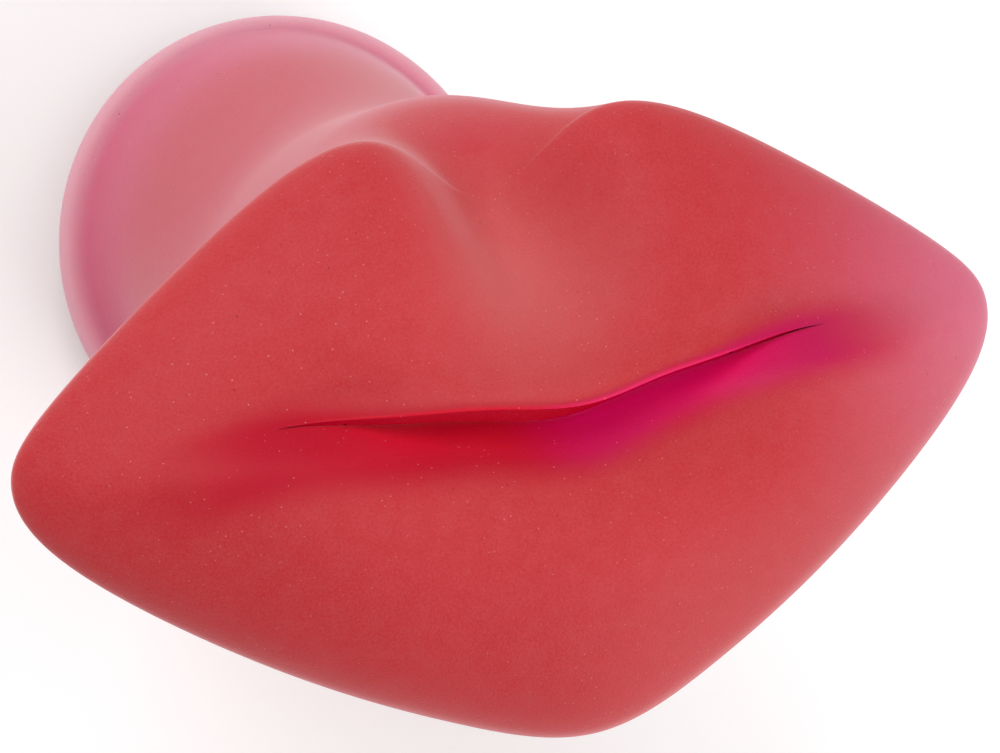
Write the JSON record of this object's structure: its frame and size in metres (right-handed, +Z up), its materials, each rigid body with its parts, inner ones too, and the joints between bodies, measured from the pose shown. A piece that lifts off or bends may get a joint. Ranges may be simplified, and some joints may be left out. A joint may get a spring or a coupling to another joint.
{
  "type": "novelty telephone",
  "caption": "Lips-shaped novelty telephone: soft lips on a stout neck and round foot, with a keypad, hook plunger and line jack in the base.",
  "frame": {"origin": "on the desk, under the middle of the whole telephone", "axes": "+Z up from the desk to the lips, +X along the lips, +Y from the lower lip to the upper lip and the line jack"},
  "size_m": [0.19, 0.1494, 0.1851],
  "materials": {
    "soft_vinyl": "matt translucent",
    "screen": "matt",
    "frame_plastic": "moulded",
    "capsule_plastic": "moulded",
    "black_rubber": "matt",
    "capsule_metal": "satin",
    "foam": "open-cell foam",
    "tube_aluminium": "drawn",
    "screw_steel": "zinc plated",
    "ballast_steel": "raw",
    "base_plastic": "satin moulded",
    "dome_rubber": "matt",
    "circuit_board": "solder mask",
    "component_plastic": "moulded",
    "transformer_tape": "taped",
    "ringer_brass": "satin",
    "spring_steel": "drawn wire",
    "switch_steel": "stamped",
    "key_plastic": "satin moulded",
    "side_key_plastic": "satin moulded",
    "lead_red": "insulation",
    "lead_white": "insulation",
    "lead_blue": "insulation"
  },
  "bodies": {
    "phone": {"lips_skin": "soft_vinyl", "mouth_screen": "screen", "head_frame": "frame_plastic", "receiver_capsule": "capsule_plastic", "receiver_gasket": "black_rubber", "microphone_capsule": "capsule_metal", "microphone_boot": "black_rubber", "foam_sleeve": "foam", "spine_tube": "tube_aluminium", "spine_foot": "frame_plastic", "spine_screws": "screw_steel", "ballast_weight": "ballast_steel", "skin_clamp_ring": "ballast_steel", "base_housing": "base_plastic", "keypad_cover": "base_plastic", "cover_screws": "screw_steel", "rubber_feet": "black_rubber", "dome_sheet": "dome_rubber", "keypad_board": "circuit_board", "board_screws": "screw_steel", "main_board": "circuit_board", "board_parts": "component_plastic", "line_transformer": "transformer_tape", "ringer_disc": "ringer_brass", "hook_switch": "capsule_plastic", "plunger_spring": "spring_steel", "ringer_switch": "switch_steel", "tone_switch": "switch_steel", "line_jack": "capsule_plastic", "receiver_lead": "lead_red", "microphone_lead": "lead_white", "line_lead": "lead_blue"},
    "hook": {"hook_plunger": "key_plastic"},
    "ringer_slider": {"ringer_knob": "key_plastic"},
    "tone_slider": {"tone_knob": "key_plastic"},
    "key_1": {"key_1": "key_plastic"},
    "key_2": {"key_2": "key_plastic"},
    "key_3": {"key_3": "key_plastic"},
    "key_4": {"key_4": "key_plastic"},
    "key_5": {"key_5": "key_plastic"},
    "key_6": {"key_6": "key_plastic"},
    "key_7": {"key_7": "key_plastic"},
    "key_8": {"key_8": "key_plastic"},
    "key_9": {"key_9": "key_plastic"},
    "key_star": {"key_star": "key_plastic"},
    "key_0": {"key_0": "key_plastic"},
    "key_hash": {"key_hash": "key_plastic"},
    "key_redial": {"key_redial": "side_key_plastic"},
    "key_flash": {"key_flash": "side_key_plastic"}
  },
  "joints": [
    {"name": "key_1_press", "type": "slide", "parent": "phone", "child": "key_1", "axis": [0, 0, 1], "range_m": [0, 0.0014], "stiffness_N_per_m": 300, "deforming": ["dome_sheet"]},
    {"name": "key_2_press", "type": "slide", "parent": "phone", "child": "key_2", "axis": [0, 0, 1], "range_m": [0, 0.0014], "stiffness_N_per_m": 300, "deforming": ["dome_sheet"]},
    {"name": "key_3_press", "type": "slide", "parent": "phone", "child": "key_3", "axis": [0, 0, 1], "range_m": [0, 0.0014], "stiffness_N_per_m": 300, "deforming": ["dome_sheet"]},
    {"name": "key_4_press", "type": "slide", "parent": "phone", "child": "key_4", "axis": [0, 0, 1], "range_m": [0, 0.0014], "stiffness_N_per_m": 300, "deforming": ["dome_sheet"]},
    {"name": "key_5_press", "type": "slide", "parent": "phone", "child": "key_5", "axis": [0, 0, 1], "range_m": [0, 0.0014], "stiffness_N_per_m": 300, "deforming": ["dome_sheet"]},
    {"name": "key_6_press", "type": "slide", "parent": "phone", "child": "key_6", "axis": [0, 0, 1], "range_m": [0, 0.0014], "stiffness_N_per_m": 300, "deforming": ["dome_sheet"]},
    {"name": "key_7_press", "type": "slide", "parent": "phone", "child": "key_7", "axis": [0, 0, 1], "range_m": [0, 0.0014], "stiffness_N_per_m": 300, "deforming": ["dome_sheet"]},
    {"name": "key_8_press", "type": "slide", "parent": "phone", "child": "key_8", "axis": [0, 0, 1], "range_m": [0, 0.0014], "stiffness_N_per_m": 300, "deforming": ["dome_sheet"]},
    {"name": "key_9_press", "type": "slide", "parent": "phone", "child": "key_9", "axis": [0, 0, 1], "range_m": [0, 0.0014], "stiffness_N_per_m": 300, "deforming": ["dome_sheet"]},
    {"name": "key_star_press", "type": "slide", "parent": "phone", "child": "key_star", "axis": [0, 0, 1], "range_m": [0, 0.0014], "stiffness_N_per_m": 300, "deforming": ["dome_sheet"]},
    {"name": "key_0_press", "type": "slide", "parent": "phone", "child": "key_0", "axis": [0, 0, 1], "range_m": [0, 0.0014], "stiffness_N_per_m": 300, "deforming": ["dome_sheet"]},
    {"name": "key_hash_press", "type": "slide", "parent": "phone", "child": "key_hash", "axis": [0, 0, 1], "range_m": [0, 0.0014], "stiffness_N_per_m": 300, "deforming": ["dome_sheet"]},
    {"name": "key_redial_press", "type": "slide", "parent": "phone", "child": "key_redial", "axis": [0, 0, 1], "range_m": [0, 0.0014], "stiffness_N_per_m": 300, "deforming": ["dome_sheet"]},
    {"name": "key_flash_press", "type": "slide", "parent": "phone", "child": "key_flash", "axis": [0, 0, 1], "range_m": [0, 0.0014], "stiffness_N_per_m": 300, "deforming": ["dome_sheet"]},
    {"name": "hook_travel", "type": "slide", "parent": "phone", "child": "hook", "axis": [0, 0, 1], "range_m": [-0.004, 0], "stiffness_N_per_m": 60, "springref_m": -0.008, "deforming": ["plunger_spring"]},
    {"name": "ringer_slide", "type": "slide", "parent": "phone", "child": "ringer_slider", "axis": [0, 1, 0], "range_m": [0, 0.005]},
    {"name": "tone_slide", "type": "slide", "parent": "phone", "child": "tone_slider", "axis": [0, 1, 0], "range_m": [0, 0.005]}
  ]
}
